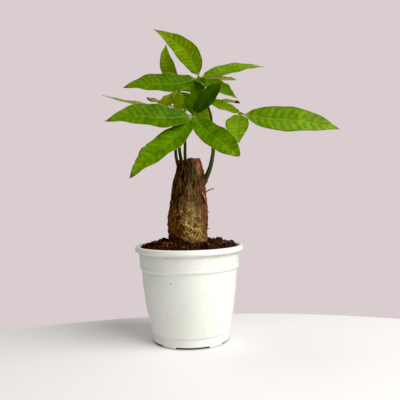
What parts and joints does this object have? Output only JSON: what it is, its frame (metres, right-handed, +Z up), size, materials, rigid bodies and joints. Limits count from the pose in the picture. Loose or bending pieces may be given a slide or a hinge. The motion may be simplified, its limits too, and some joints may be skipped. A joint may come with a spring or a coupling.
{
  "type": "potted money tree",
  "caption": "Young money tree with a cut woody trunk and hand-shaped leaves, in a round tapered plastic pot filled with soil.",
  "frame": {"origin": "on the pot's axis, in the plane that the pot stands on", "axes": "+Z up along the pot's axis and the tallest extent; +X to the viewer's right, where the longest leaflet points; -Y towards the viewer"},
  "size_m": [0.2893, 0.2407, 0.3738],
  "materials": {
    "pot_plastic": "satin",
    "soil": "matte",
    "bark": "matte",
    "green_stem": "satin",
    "leaf": "satin"
  },
  "bodies": {
    "root": {"pot": "pot_plastic", "soil": "soil", "trunk": "bark", "shoot_right": "green_stem", "leaf_top": "leaf", "leaf_front": "leaf", "leaf_right": "leaf", "leaf_back_left": "leaf", "leaf_back": "leaf"}
  },
  "joints": []
}
